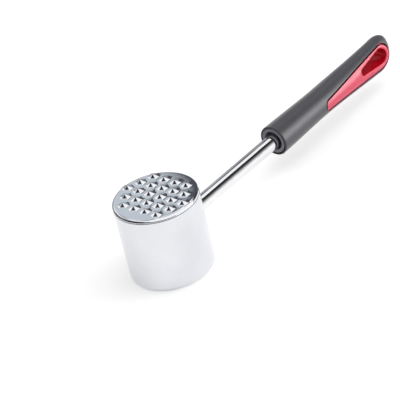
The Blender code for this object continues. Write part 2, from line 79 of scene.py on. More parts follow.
def spun(profile, steps, along_handle=False):
    """Spin a chain of (radius, distance) points about the head's axis or the rod's."""
    shape = bmesh.new()
    axis = (1, 0, 0) if along_handle else (0, 0, 1)
    centre = (0, 0, ROD_HEIGHT) if along_handle else (0, 0, 0)
    for radius, distance in profile:
        place = (distance, 0, ROD_HEIGHT + radius) if along_handle else (radius, 0, distance)
        shape.verts.new(place)
    shape.verts.ensure_lookup_table()
    for first, second in zip(shape.verts[:-1], shape.verts[1:]):
        shape.edges.new((first, second))
    bmesh.ops.spin(
        shape, geom=shape.verts[:] + shape.edges[:], cent=centre, axis=axis, dvec=(0, 0, 0),
        angle=2 * pi, steps=steps, use_merge=True, use_duplicate=False,
    )
    bmesh.ops.remove_doubles(shape, verts=shape.verts[:], dist=MERGE_DISTANCE)
    face_outward(shape)
    return shape


def ring_edges(shape, radius, distance, along_handle=False):
    """Edges of a spun shape that lie on one circle."""
    def on_ring(vert):
        if along_handle:
            here = (hypot(vert.co.y, vert.co.z - ROD_HEIGHT), vert.co.x)
        else:
            here = (hypot(vert.co.x, vert.co.y), vert.co.z)
        return (abs(here[0] - radius) < RING_TOLERANCE
                and abs(here[1] - distance) < RING_TOLERANCE)
    return [edge for edge in shape.edges if all(on_ring(vert) for vert in edge.verts)]


def round_edges(shape, edges, size, segments):
    """Round the given edges over."""
    bmesh.ops.bevel(
        shape, geom=edges, offset=size, offset_type='OFFSET', segments=segments,
        profile=0.5, affect='EDGES', material=-1, clamp_overlap=True,
    )


def handle_bar(radius, start, end, steps):
    """Plain round bar on the rod's axis, used to bore and to build up."""
    shape = bmesh.new()
    middle = Matrix.Translation(((start + end) / 2, 0, ROD_HEIGHT))
    bmesh.ops.create_cone(
        shape, cap_ends=True, segments=steps, radius1=radius, radius2=radius,
        depth=end - start, matrix=middle @ Matrix.Rotation(pi / 2, 4, 'Y'),
    )
    return shape


def as_object(name, shape):
    """Turn a finished bmesh into an object at the origin."""
    mesh = bpy.data.meshes.new(name)
    shape.to_mesh(mesh)
    shape.free()
    item = bpy.data.objects.new(name, mesh)
    bpy.context.scene.collection.objects.link(item)
    return item


def settle(item):
    """Apply a piece's modifiers to its mesh."""
    ready = item.evaluated_get(bpy.context.evaluated_depsgraph_get())
    mesh = bpy.data.meshes.new_from_object(ready)
    item.modifiers.clear()
    item.data = mesh


def join_or_cut(item, shape, operation):
    """Unite a piece with a tool shape, or cut the tool shape out of it."""
    tool = as_object("tool", shape)
    cut = item.modifiers.new("cut", 'BOOLEAN')
    cut.operation = operation
    cut.solver = 'EXACT'
    cut.object = tool
    settle(item)
    bpy.data.objects.remove(tool)


def polish(item, angle):
    """Smooth shading with crisp edges; broad faces keep their own direction."""
    item.data.shade_smooth()
    item.data.set_sharp_from_angle(angle=radians(angle))
    weighted = item.modifiers.new("even", 'WEIGHTED_NORMAL')
    weighted.keep_sharp = True
    weighted.weight = 80
    settle(item)


def new_material(name):
    """Plain material, with its node tree and its shader."""
    material = bpy.data.materials.new(name)
    material.use_nodes = True
    return material, material.node_tree, material.node_tree.nodes["Principled BSDF"]


def fill(tree, node, values):
    """Fill a node's sockets with the outputs of other nodes or with plain values."""
    for key, value in values.items():
        socket = node.inputs[key]
        if isinstance(value, bpy.types.NodeSocket):
            tree.links.new(value, socket)
        elif socket.type == 'RGBA':
            socket.default_value = (*value, 1.0)
        else:
            socket.default_value = value


def add_node(tree, kind, values=None, **settings):
    """Add a node, set its options and fill its sockets."""
    node = tree.nodes.new(kind)
    node.location = (NODE_STEP * len(tree.nodes), NODE_ROW)
    for key, value in settings.items():
        setattr(node, key, value)
    fill(tree, node, values or {})
    return node


def on_piece(tree):
    """Places on the piece itself, in metres."""
    return add_node(tree, 'ShaderNodeTexCoord').outputs["Object"]


def grain(tree, coordinates, scale, low=0.0, high=1.0, detail=4.0):
    """Noise spread between two values, for colour, gloss or relief."""
    noise = add_node(tree, 'ShaderNodeTexNoise', {
        "Vector": coordinates, "Scale": scale, "Detail": detail, "Roughness": 0.6})
    return add_node(tree, 'ShaderNodeMapRange', {
        "Value": noise.outputs["Fac"], "From Min": 0.3, "From Max": 0.7,
        "To Min": low, "To Max": high,
    }).outputs["Result"]


def blend(tree, factor, first, second, **settings):
    """Mix two colours."""
    return add_node(
        tree, 'ShaderNodeMix', {"Factor": factor, "A": first, "B": second},
        data_type='RGBA', **settings,
    ).outputs["Result"]


def two_tone(tree, coordinates, scale, first, second, detail=4.0):
    """Colour that wanders between two tones."""
    return blend(tree, grain(tree, coordinates, scale, detail=detail), first, second)


def emboss(tree, shader, height, strength, depth):
    """Give a surface a fine relief."""
    relief = add_node(tree, 'ShaderNodeBump', {
        "Height": height, "Strength": strength, "Distance": depth})
    fill(tree, shader, {"Normal": relief.outputs["Normal"]})


def plated_metal(name, bright, dull, gloss, scratch_turn=(0, 0, 0)):
    """Polished metal: faint cloudy tone, wiping marks and hair scratches."""
    material, tree, shader = new_material(name)
    coordinates = on_piece(tree)
    fill(tree, shader, {
        "Metallic": 1.0,
        "Base Color": two_tone(tree, coordinates, CLOUD_SCALE, bright, dull, detail=5.0),
        "Roughness": grain(
            tree, coordinates, SMEAR_SCALE, gloss, gloss * SMEAR_SPREAD, detail=6.0),
    })
    stretched = add_node(tree, 'ShaderNodeMapping', {
        "Vector": coordinates, "Rotation": scratch_turn, "Scale": SCRATCH_STRETCH,
    }).outputs["Vector"]
    emboss(tree, shader, grain(tree, stretched, 1.0, detail=2.0), 0.06, SCRATCH_DEPTH)
    return material


head = spun([
    (0, HEAD_FLOOR), (HEAD_BORE_RADIUS, HEAD_FLOOR), (HEAD_BORE_RADIUS, HEAD_BODY_HEIGHT),
    (HEAD_RADIUS, HEAD_BODY_HEIGHT), (HEAD_RADIUS, 0), (0, 0),
], HEAD_STEPS)
foot_ring = ring_edges(head, HEAD_RADIUS, 0)
round_edges(head, foot_ring, HEAD_EDGE_RADIUS, segments=8)
inner_ring = ring_edges(head, HEAD_BORE_RADIUS, HEAD_FLOOR)
round_edges(head, inner_ring, HEAD_INNER_RADIUS, segments=5)
lip_ring = ring_edges(head, HEAD_RADIUS, HEAD_BODY_HEIGHT)
round_edges(head, lip_ring, HEAD_LIP_RADIUS, segments=3)
head_body = as_object("head_body", head)
boss = handle_bar(BOSS_RADIUS, BOSS_FACE, BOSS_END, steps=64)
socket = handle_bar(SOCKET_RADIUS, SOCKET_FLOOR, SOCKET_CUT_END, steps=96)
screw_hole = handle_bar(SCREW_HOLE_RADIUS, SCREW_HOLE_START, SCREW_HOLE_END, steps=48)
join_or_cut(head_body, boss, 'UNION')
join_or_cut(head_body, socket, 'DIFFERENCE')
join_or_cut(head_body, screw_hole, 'DIFFERENCE')
polish(head_body, 40)
head_body.data.materials.append(plated_metal(
    "head_plating", bright=(0.83, 0.84, 0.87), dull=(0.79, 0.80, 0.835), gloss=0.035))
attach(head_body, "root")
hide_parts("head_shell")


# TOOTHED PLATE
# A cast and polished lid with a rounded rim and a spigot that sits in the head's bore.
# Its face carries 24 blunt six-sided teeth, cast in one piece with it and softened by polishing.
PLATE_BASE = 0.0502
PLATE_TOP = 0.0525
PLATE_RIM_RADIUS = 0.002
PLATE_FOOT_RADIUS = 0.00015
PLATE_FACE_RINGS = (0.008, 0.016, 0.022)    # the flat face is spun in rings of these radii
SPIGOT_RADIUS = 0.0217
SPIGOT_FOOT = 0.0452
TOOTH_PITCH = 0.0089
TOOTH_ROW_DISTANCE = 0.0081
TOOTH_ROW_SHIFT = 0.00073
TOOTH_ROWS = (4, 5, 6, 5, 4)
TOOTH_SIDES = 6
TOOTH_WIDTH = 0.0045
TOOTH_TIP_WIDTH = 0.0006
TOOTH_SLOPE = radians(36)
TOOTH_FILLET = 0.0030
TOOTH_FILLET_STEPS = 8
TOOTH_RIDGE_ROUNDING = 0.00040
TOOTH_CROWN_ROUNDING = TOOTH_RIDGE_ROUNDING * 0.6
TOOTH_SKIRT = 0.0008         # how far a tooth's foot goes into the plate
TOOTH_SINK = 0.00001         # keeps the fillet's edge just under the plate's face


def extend(shape, edges):
    """Extrude an open loop of edges. Gives its new points and its new open edges."""
    made = bmesh.ops.extrude_edge_only(shape, edges=edges)["geom"]
    verts = [item for item in made if isinstance(item, bmesh.types.BMVert)]
    edges = [item for item in made if isinstance(item, bmesh.types.BMEdge) and item.is_boundary]
    return verts, edges


def tooth(along, across):
    """One six-sided tooth with soft ridges and a hollow sweep into the plate."""
    shape = bmesh.new()
    tall = (TOOTH_WIDTH - TOOTH_TIP_WIDTH) / 2 * tan(TOOTH_SLOPE)
    to_corner = cos(pi / TOOTH_SIDES)
    turned = Matrix.Rotation(pi / TOOTH_SIDES, 4, 'Z')
    bmesh.ops.create_cone(
        shape, cap_ends=True, segments=TOOTH_SIDES, radius1=TOOTH_WIDTH / 2 / to_corner,
        radius2=TOOTH_TIP_WIDTH / 2 / to_corner, depth=tall,
        matrix=Matrix.Translation((0, 0, tall / 2)) @ turned,
    )
    ridges = [e for e in shape.edges if abs(e.verts[0].co.z - e.verts[1].co.z) > tall / 2]
    round_edges(shape, ridges, TOOTH_RIDGE_ROUNDING, segments=4)
    crown = [e for e in shape.edges if all(v.co.z > tall * 0.99 for v in e.verts)]
    round_edges(shape, crown, TOOTH_CROWN_ROUNDING, segments=3)
    floor = [f for f in shape.faces if all(v.co.z < tall * 0.01 for v in f.verts)]
    bmesh.ops.delete(shape, geom=floor, context='FACES_ONLY')
    edge = [e for e in shape.edges if e.is_boundary]
    for step in range(TOOTH_FILLET_STEPS):
        ring, edge = extend(shape, edge)
        before = TOOTH_SLOPE * (1 - step / TOOTH_FILLET_STEPS)
        after = TOOTH_SLOPE * (1 - (step + 1) / TOOTH_FILLET_STEPS)
        out = TOOTH_FILLET * (sin(before) - sin(after))
        down = TOOTH_FILLET * (cos(after) - cos(before))
        reach = TOOTH_WIDTH / 2 + TOOTH_FILLET * (sin(TOOTH_SLOPE) - sin(before))
        grow = (reach + out) / reach
        bmesh.ops.scale(shape, verts=ring, vec=(grow, grow, 1))
        bmesh.ops.translate(shape, verts=ring, vec=(0, 0, -down))
    ring, edge = extend(shape, edge)
    bmesh.ops.translate(shape, verts=ring, vec=(0, 0, -TOOTH_SKIRT))
    bmesh.ops.holes_fill(shape, edges=edge, sides=0)
    lowest = TOOTH_FILLET * (1 - cos(TOOTH_SLOPE))
    foot = (along, across, PLATE_TOP + lowest - TOOTH_SINK)
    bmesh.ops.translate(shape, verts=shape.verts[:], vec=foot)
    face_outward(shape)
    return shape


def tooth_field():
    """All the teeth, row by row across the handle."""
    field = bmesh.new()
    for number, count in enumerate(TOOTH_ROWS):
        row = number - len(TOOTH_ROWS) // 2
        for place in range(count):
            across = (place - (count - 1) / 2) * TOOTH_PITCH + row * TOOTH_ROW_SHIFT
            one = tooth(row * TOOTH_ROW_DISTANCE, across)
            mesh = bpy.data.meshes.new("one_tooth")
            one.to_mesh(mesh)
            one.free()
            field.from_mesh(mesh)
            bpy.data.meshes.remove(mesh)
    return field


plate = spun([
    (0, PLATE_TOP), *[(radius, PLATE_TOP) for radius in PLATE_FACE_RINGS],
    (HEAD_RADIUS, PLATE_TOP), (HEAD_RADIUS, PLATE_BASE), (SPIGOT_RADIUS, PLATE_BASE),
    (SPIGOT_RADIUS, SPIGOT_FOOT), (0, SPIGOT_FOOT),
], HEAD_STEPS)
rim_ring = ring_edges(plate, HEAD_RADIUS, PLATE_TOP)
round_edges(plate, rim_ring, PLATE_RIM_RADIUS, segments=10)
foot_ring = ring_edges(plate, HEAD_RADIUS, PLATE_BASE)
round_edges(plate, foot_ring, PLATE_FOOT_RADIUS, segments=2)
toothed_plate = as_object("toothed_face", plate)
join_or_cut(toothed_plate, tooth_field(), 'UNION')
polish(toothed_plate, 40)
toothed_plate.data.materials.append(plated_metal(
    "plate_plating", bright=(0.90, 0.92, 0.96), dull=(0.84, 0.86, 0.90), gloss=0.04,
    scratch_turn=(0, 0, 0.6)))
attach(toothed_plate, "root")
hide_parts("toothed_plate")


# ROD
# A bar of stainless steel, ground and polished. One end sits in the head's socket and is
# drawn up by the screw; the grooved tail is moulded into the grip's core.
ROD_RADIUS = 0.005
ROD_START = 0.0212
ROD_END = 0.1912
ROD_CHAMFER = 0.0005
GROOVE_CENTRES = (0.1412, 0.1532, 0.1652)
GROOVE_RADIUS = 0.004
GROOVE_HALF_WIDTH = 0.002
TAPPED_HOLE_END = 0.0392
DRILL_POINT = 0.0015
FLAT_MIDDLE = 0.1862
FLAT_CUTTER_SIZE = (0.018, 0.005, 0.014)
FLAT_CUTTER_OFFSET = 0.0065

chain = [
    (0, TAPPED_HOLE_END + DRILL_POINT), (SCREW_HOLE_RADIUS, TAPPED_HOLE_END),
    (SCREW_HOLE_RADIUS, ROD_START), (ROD_RADIUS - ROD_CHAMFER, ROD_START),
    (ROD_RADIUS, ROD_START + ROD_CHAMFER),
]
for centre in GROOVE_CENTRES:
    groove_start, groove_end = centre - GROOVE_HALF_WIDTH, centre + GROOVE_HALF_WIDTH
    chain += [
        (ROD_RADIUS, groove_start), (GROOVE_RADIUS, groove_start),
        (GROOVE_RADIUS, groove_end), (ROD_RADIUS, groove_end),
    ]
chain += [(ROD_RADIUS, ROD_END - ROD_CHAMFER), (ROD_RADIUS - ROD_CHAMFER, ROD_END), (0, ROD_END)]
rod = as_object("polished_rod", spun(chain, steps=96, along_handle=True))
for side in (-1, 1):
    cutter = bmesh.new()
    place = Matrix.Translation((FLAT_MIDDLE, side * FLAT_CUTTER_OFFSET, ROD_HEIGHT))
    size = Matrix.Diagonal((*FLAT_CUTTER_SIZE, 1))
    bmesh.ops.create_cube(cutter, size=1.0, matrix=place @ size)
    join_or_cut(rod, cutter, 'DIFFERENCE')
polish(rod, 35)
rod.data.materials.append(plated_metal(
    "rod_polish", bright=(0.91, 0.91, 0.92), dull=(0.86, 0.86, 0.88), gloss=0.03))
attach(rod, "root")
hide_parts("rod")


# SCREW AND LOCK WASHER
# A black-oxide socket screw and a split spring washer, both of steel, inside the hollow head.
# They draw the rod into its socket before the toothed plate is pressed on.
MOTTLE_SCALE = 900.0
MOTTLE_DARK = 0.7
OIL_SCALE = 1500.0
OIL_SPREAD = 0.2
SCREW_GLOSS = 0.32


def screw_finish(name, colour, gloss):
    """Oiled steel with a little mottling."""
    material, tree, shader = new_material(name)
    coordinates = on_piece(tree)
    dark = tuple(part * MOTTLE_DARK for part in colour)
    fill(tree, shader, {
        "Metallic": 1.0,
        "Base Color": two_tone(tree, coordinates, MOTTLE_SCALE, colour, dark),
        "Roughness": grain(tree, coordinates, OIL_SCALE, gloss, gloss + OIL_SPREAD),
    })
    return material


for node, finish, colour in (
    ("rod_screw", "screw_oxide", (0.09, 0.09, 0.10)),
    ("lock_washer", "washer_spring_steel", (0.34, 0.34, 0.35)),
):
    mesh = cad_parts[node].data
    if not mesh.materials:
        mesh.materials.append(None)
    for number in range(len(mesh.materials)):
        mesh.materials[number] = screw_finish(finish, colour, SCREW_GLOSS)


# GRIP CORE
# Hard red plastic moulded over the rod's grooved tail. It shows through a teardrop window on
# each side, where its face has a soft ridge, and it lines the hanging hole.
GRIP_FRONT = 0.1115
GRIP_LENGTH = 0.128
GRIP_END = GRIP_FRONT + GRIP_LENGTH
GRIP_WAIST = GRIP_FRONT + 0.050
GRIP_FRONT_DIAMETER = 0.0208
WAIST_HEIGHT = 0.0192
WAIST_THICKNESS = 0.0189
PADDLE_HEIGHT = 0.0256
PADDLE_THICKNESS = 0.0164
PADDLE_DROP = 0.001
TIP_LIFT = 0.0009
END_ROUNDING = 0.0135
END_THINNING = 0.0121
GRIP_SHOULDER = GRIP_END - END_ROUNDING
PADDLE_EASING = 1.3
END_SQUARENESS = 3.1
ROUND = 2.0                  # crown of a plain oval section; a lower one makes a ridge
NOSE_RINGS = 6
BODY_RINGS = 64
END_RINGS = 28
END_GAP = 0.000004           # keeps the last ring open, so that it can be closed by a face
CORE_INSET = 0.0023
CORE_FRONT = 0.1163
CORE_BORE_RADIUS = 0.0053
CORE_BORE_START = CORE_FRONT - 0.004
CORE_BORE_END = ROD_END + 0.0003
PANEL_START = GRIP_FRONT + 0.047
PANEL_END = GRIP_END - 0.006
PANEL_NARROW_RADIUS = 0.0039
PANEL_WIDE_HALF_HEIGHT = 0.0090
PANEL_END_ROUNDING = 0.0075
PANEL_HEIGHT = ROD_HEIGHT - 0.0003
PANEL_CROWN = 1.62
PANEL_SEAM = 0.0005          # the shell's window is this much larger than the outline all round
PANEL_SHRINK = 0.0004        # the panel is this much smaller
PANEL_DROP = 0.0005          # and sits this much lower in the window
PANEL_CUT_REACH = 0.02
OUTLINE_STEPS = 120
WIDE_END_SHARE = 0.6         # share of an outline's points that its wide end takes
HOLE_START = 0.2010
HOLE_END = 0.2303
HOLE_NARROW_RADIUS = 0.0024
HOLE_WIDE_RADIUS = 0.0054
HOLE_HEIGHT = ROD_HEIGHT + 0.0008
HOLE_LIP = 0.0013
HOLE_LIP_STEPS = 8
HOLE_LIP_SINK = 0.00003
HOLE_CUT_MARGIN = 0.0005     # the cutter widens by this above the lip
HOLE_CUT_SKIN = 0.0002       # from this height above the panel's face
HOLE_CUT_REACH = 0.012       # up to this one
SEAM_FACING = 0.6            # a panel's walls face sideways by less than this
SEAM_OFFSET = 0.0045         # and lie further out than this
FACE_RED = (0.66, 0.074, 0.128)
FACE_RED_DARKER = (0.62, 0.068, 0.115)
# Painted shade: faces that look sideways, such as the walls of the hole, get this darker red.
WALL_RED_PAINTED_SHADE = (0.46, 0.002, 0.012)
# Painted shadow: the panels' walls in the gap under the shell's edge get this maroon.
SEAM_RED_PAINTED_SHADOW = (0.18, 0.004, 0.012)


def swing(share):
    """Slow start and slow end, between 0 and 1."""
    share = min(max(share, 0.0), 1.0)
    return share * share * (3 - 2 * share)


def between(first, second, share):
    """Value part of the way from the first to the second."""
    return first + (second - first) * share


def grip_section(distance, inset):
    """Half height, half thickness and middle height of the grip at a distance."""
    if distance < GRIP_WAIST:
        share = swing((distance - GRIP_FRONT) / (GRIP_WAIST - GRIP_FRONT))
        half_height = between(GRIP_FRONT_DIAMETER, WAIST_HEIGHT, share) / 2
        half_thickness = between(GRIP_FRONT_DIAMETER, WAIST_THICKNESS, share) / 2
        middle = 0.0
    else:
        along = (distance - GRIP_WAIST) / (GRIP_SHOULDER - GRIP_WAIST)
        share = min(max(along, 0.0), 1.0) ** PADDLE_EASING
        half_height = between(WAIST_HEIGHT, PADDLE_HEIGHT, share) / 2
        half_thickness = between(WAIST_THICKNESS, PADDLE_THICKNESS, swing(along)) / 2
        middle = -PADDLE_DROP * swing(along)
    rounding = min(max((distance - GRIP_SHOULDER) / (END_ROUNDING - inset), 0.0), 1.0)
    thinning = (distance - GRIP_END + END_THINNING) / (END_THINNING - inset)
    thinning = min(max(thinning, 0.0), 1.0)
    middle += (PADDLE_DROP + TIP_LIFT) * rounding
    half_height = (half_height - inset) * (1 - rounding ** 2) ** (1 / END_SQUARENESS)
    half_thickness = (half_thickness - inset) * sqrt(1 - thinning ** 2)
    return half_height, half_thickness, middle


def drawn_out(count, rings, place):
    """Draw a circle out ring by ring; place(ring, angle) says where each point goes."""
    shape = bmesh.new()
    turn = shape.verts.layers.float.new("turn")
    bmesh.ops.create_circle(shape, segments=count, radius=1.0, cap_ends=False)
    for vert in shape.verts:
        vert[turn] = atan2(vert.co.y, vert.co.x)
    verts, edges = shape.verts[:], shape.edges[:]
    for number, ring in enumerate(rings):
        if number:
            verts, edges = extend(shape, edges)
        for vert in verts:
            vert.co = place(ring, vert[turn])
    open_edges = [edge for edge in shape.edges if edge.is_boundary]
    bmesh.ops.holes_fill(shape, edges=open_edges, sides=0)
    bmesh.ops.remove_doubles(shape, verts=shape.verts[:], dist=MERGE_DISTANCE)
    face_outward(shape)
    return shape


def grip_loft(inset, start, count, crown, nose=0.0):
    """Body of the grip, drawn in all round by an inset, with a rounded front edge."""
    rings = []
    if nose:
        for step in range(NOSE_RINGS):
            angle = step / NOSE_RINGS * pi / 2
            rings.append((start + nose * (1 - cos(angle)), nose * (1 - sin(angle))))
    first = start + nose
    for step in range(BODY_RINGS):
        rings.append((between(first, GRIP_SHOULDER, step / BODY_RINGS), 0.0))
    for step in range(END_RINGS):
        angle = step / END_RINGS * pi / 2
        rings.append((GRIP_SHOULDER + (END_ROUNDING - inset) * sin(angle), 0.0))
    rings.append((GRIP_END - inset - END_GAP, 0.0))

    def place(ring, angle):
        distance, trim = ring
        half_height, half_thickness, middle = grip_section(distance, inset)
        side, up = cos(angle), sin(angle)
        size = (abs(side) ** crown + abs(up) ** crown) ** (-1 / crown)
        return (
            distance, (half_thickness - trim) * side * size,
            ROD_HEIGHT + middle + (half_height - trim) * up * size,
        )
    return drawn_out(count, rings, place)


def teardrop(grow, angle, start, end, narrow, wide, blunt):
    """Point of a teardrop outline seen from the side, as distance and height.

    The wide end is round, or squarish when a blunt length is given.
    """
    narrow_centre = start + narrow
    wide_centre = end - (blunt or wide)
    tilt = asin((wide - narrow) / (wide_centre - narrow_centre))
    share = (angle % (2 * pi)) / (2 * pi)
    half_wide = WIDE_END_SHARE / 2
    if share < half_wide or share > 1 - half_wide:
        part = (share + half_wide) % 1.0 / WIDE_END_SHARE
        reach = pi / 2 + (0.0 if blunt else tilt)
        turn = -reach + part * 2 * reach
        if blunt:
            power = 2 / END_SQUARENESS
            height = (wide + grow) * abs(sin(turn)) ** power * (1 if turn > 0 else -1)
            return wide_centre + (blunt + grow) * cos(turn), height
        return wide_centre + (wide + grow) * cos(turn), (wide + grow) * sin(turn)
    part = (share - half_wide) / (1 - WIDE_END_SHARE)
    reach = pi / 2 - tilt
    turn = pi - reach + part * 2 * reach
    return narrow_centre + (narrow + grow) * cos(turn), (narrow + grow) * sin(turn)


def sums(tree, operation, *values):
    """One arithmetic step, between the outputs of nodes or plain numbers."""
    return add_node(
        tree, 'ShaderNodeMath', dict(enumerate(values)), operation=operation).outputs[0]


def rise(tree, value, low, high, first=0.0, last=1.0):
    """Smooth change from the first number to the last while a value goes from low to high."""
    return add_node(tree, 'ShaderNodeMapRange', {
        "Value": value, "From Min": low, "From Max": high, "To Min": first, "To Max": last,
    }, interpolation_type='SMOOTHSTEP').outputs["Result"]


def panel_block(grow, drop=0.0):
    """Prism through the grip with the outline of the red panel."""
    def place(across, angle):
        distance, height = teardrop(
            grow, angle, PANEL_START, PANEL_END, PANEL_NARROW_RADIUS,
            PANEL_WIDE_HALF_HEIGHT, PANEL_END_ROUNDING,
        )
        return distance, across, PANEL_HEIGHT - drop + height
    return drawn_out(OUTLINE_STEPS, (-PANEL_CUT_REACH, PANEL_CUT_REACH), place)


def hole_block():
    """Prism with the hanging hole's outline and a round lip that follows the panel's face."""
    def place(ring, angle):
        side, grow, sunk = ring
        distance, height = teardrop(
            grow, angle, HOLE_START, HOLE_END, HOLE_NARROW_RADIUS, HOLE_WIDE_RADIUS, 0.0)
        half_height, half_thickness, middle = grip_section(distance, 0.0)
        off = abs(HOLE_HEIGHT + height - ROD_HEIGHT - middle) / half_height
        surface = half_thickness * (1 - off ** PANEL_CROWN) ** (1 / PANEL_CROWN)
        return distance, side * (surface - sunk), HOLE_HEIGHT + height
    widest = HOLE_LIP + HOLE_CUT_MARGIN
    rings = [(1, widest, -HOLE_CUT_REACH), (1, widest, -HOLE_CUT_SKIN)]
    for step in range(HOLE_LIP_STEPS + 1):
        angle = (1 - step / HOLE_LIP_STEPS) * pi / 2
        depth = HOLE_LIP * (1 - sin(angle)) + HOLE_LIP_SINK
        rings.append((1, HOLE_LIP * (1 - cos(angle)), depth))
    rings += [(-side, grow, sunk) for side, grow, sunk in reversed(rings)]
    return drawn_out(OUTLINE_STEPS, rings, place)


core = as_object("red_core", grip_loft(CORE_INSET, CORE_FRONT, count=72, crown=ROUND))
panels = as_object("panels", grip_loft(0.0, CORE_FRONT, count=120, crown=PANEL_CROWN))
join_or_cut(panels, panel_block(-PANEL_SHRINK, PANEL_DROP), 'INTERSECT')
both = bmesh.new()
both.from_mesh(panels.data)
bpy.data.objects.remove(panels)
join_or_cut(core, both, 'UNION')
join_or_cut(core, hole_block(), 'DIFFERENCE')
core_bore = handle_bar(CORE_BORE_RADIUS, CORE_BORE_START, CORE_BORE_END, steps=72)
join_or_cut(core, core_bore, 'DIFFERENCE')
polish(core, 34)

# The faces are paler and duller than the walls of the hole, and the seam is darker still: the
# walls' deep red is painted shade in the hole, the seam's maroon is painted shadow in the gap round
# each panel.
red, tree, shader = new_material("core_red_plastic")
coordinates = on_piece(tree)
directions = add_node(tree, 'ShaderNodeTexCoord').outputs["Normal"]
facing = add_node(tree, 'ShaderNodeSeparateXYZ', {"Vector": directions}).outputs["Y"]
on_face = rise(tree, sums(tree, 'ABSOLUTE', facing), 0.35, 0.85)
face_red = two_tone(tree, coordinates, 260.0, FACE_RED, FACE_RED_DARKER)
face_gloss = grain(tree, coordinates, 700.0, 0.30, 0.42)
gloss = add_node(tree, 'ShaderNodeMix', {"Factor": on_face, "A": 0.16, "B": face_gloss})
fill(tree, shader, {
    "Base Color": blend(tree, on_face, WALL_RED_PAINTED_SHADE, face_red),
    "Roughness": gloss.outputs["Result"],
    "Specular IOR Level": 0.28,
    "Subsurface Weight": 0.12,
    "Subsurface Radius": (0.004, 0.0012, 0.001),
    "Subsurface Scale": 0.5,
})
emboss(tree, shader, grain(tree, coordinates, 2600.0), 0.15, 0.00003)
core.data.materials.append(red)
# A copy of the red whose wall colour is the maroon of painted shadow, for the panels' walls in the
# gap.
seam_red = red.copy()
seam_red.name = "core_red_seam_painted_shadow"
seam_shader = seam_red.node_tree.nodes["Principled BSDF"]
seam_blend = seam_shader.inputs["Base Color"].links[0].from_node
fill(seam_red.node_tree, seam_blend, {"A": SEAM_RED_PAINTED_SHADOW})
core.data.materials.append(seam_red)
for face in core.data.polygons:
    beside_hole = (HOLE_START - HOLE_LIP < face.center.x < HOLE_END + HOLE_LIP
                   and abs(face.center.z - HOLE_HEIGHT) < HOLE_WIDE_RADIUS + HOLE_LIP)
    on_wall = abs(face.normal.y) < SEAM_FACING and abs(face.center.y) > SEAM_OFFSET
    if on_wall and not beside_hole:
        face.material_index = 1
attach(core, "root")
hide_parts("grip_core")


# FRONT COLLAR
# A dished ring of grey satin plastic that closes the grip's mouth round the rod.
# It is pressed into the shell until it sits just behind the shell's rounded edge.
COLLAR_RADIUS = 0.0090
COLLAR_BORE = 0.00506
COLLAR_SHIFT = 0.0004            # it sits a little to one side in the mouth
COLLAR_UNMOVED_RADIUS = 0.0065   # but for what lies nearer to the rod than this
COLLAR_FRONT = 0.1118
COLLAR_BACK = 0.1160
COLLAR_EDGE = 0.0004
COLLAR_DISH = COLLAR_FRONT + 0.0035
COLLAR_DISH_RADIUS = 0.0067
COLLAR_DISH_FLOOR_RADIUS = 0.0062
# Painted shadow darkens the dish's colour most inside this radius.
COLLAR_SHADE_RADIUS = 0.0060
PLASTIC_MOTTLE_SCALE = 420.0
PLASTIC_GLOSS_SCALE = 900.0
PLASTIC_GLOSS_SPREAD = 0.08
PLASTIC_GRAIN_SCALE = 3500.0

collar = spun([
    (COLLAR_BORE, COLLAR_DISH), (COLLAR_BORE, COLLAR_BACK), (COLLAR_RADIUS, COLLAR_BACK),
    (COLLAR_RADIUS, COLLAR_FRONT), (COLLAR_DISH_RADIUS, COLLAR_FRONT),
    (COLLAR_DISH_FLOOR_RADIUS, COLLAR_DISH), (COLLAR_BORE, COLLAR_DISH),
], steps=128, along_handle=True)
front_ring = ring_edges(collar, COLLAR_RADIUS, COLLAR_FRONT, along_handle=True)
round_edges(collar, front_ring, COLLAR_EDGE, segments=4)
rim = [vert for vert in collar.verts
       if hypot(vert.co.y, vert.co.z - ROD_HEIGHT) > COLLAR_UNMOVED_RADIUS]
bmesh.ops.translate(collar, verts=rim, vec=(0, COLLAR_SHIFT, 0))
front_collar = as_object("mouth_collar", collar)
polish(front_collar, 30)


def moulded_plastic(name, colour, worn, gloss, depth):
    """Moulded plastic: slightly mottled colour and a fine spark-eroded grain."""
    material, tree, shader = new_material(name)
    coordinates = on_piece(tree)
    fill(tree, shader, {
        "Base Color": two_tone(tree, coordinates, PLASTIC_MOTTLE_SCALE, colour, worn),
        "Roughness": grain(
            tree, coordinates, PLASTIC_GLOSS_SCALE, gloss, gloss + PLASTIC_GLOSS_SPREAD),
    })
    emboss(tree, shader, grain(tree, coordinates, PLASTIC_GRAIN_SCALE), 0.3, depth)
    return material, tree, shader


# The dish's colour is darkened towards the rod: painted shadow, where its floor lies in shade.
satin, tree, shader = moulded_plastic(
    "collar_satin_plastic", colour=(0.14, 0.14, 0.168), worn=(0.12, 0.12, 0.145),
    gloss=0.28, depth=0.00003)
mottle = shader.inputs["Base Color"].links[0].from_socket
flattened = add_node(tree, 'ShaderNodeMapping', {
    "Vector": on_piece(tree), "Location": (0, 0, -ROD_HEIGHT), "Scale": (0, 1, 1)})
from_axis = add_node(
    tree, 'ShaderNodeVectorMath', {0: flattened.outputs["Vector"]}, operation='DISTANCE')
shade = rise(tree, from_axis.outputs["Value"], COLLAR_SHADE_RADIUS, COLLAR_DISH_RADIUS, 0.08)
fill(tree, shader, {"Base Color": blend(tree, 1.0, mottle, shade, blend_type='MULTIPLY')})
front_collar.data.materials.append(satin)
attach(front_collar, "root")
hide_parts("front_collar")


# GRIP SHELL
# A dark grey soft-touch skin moulded over the core, round at the front, waisted for the
# fingers and flattened to a paddle at the tail. A teardrop window on each side shows the core.
GRIP_WALL = 0.002
GRIP_NOSE = 0.0007
HOLLOW_START = COLLAR_BACK - 0.0021
MOUTH_RADIUS = 0.00975
MOUTH_START = GRIP_FRONT - 0.004
MOUTH_END = COLLAR_BACK + 0.0003

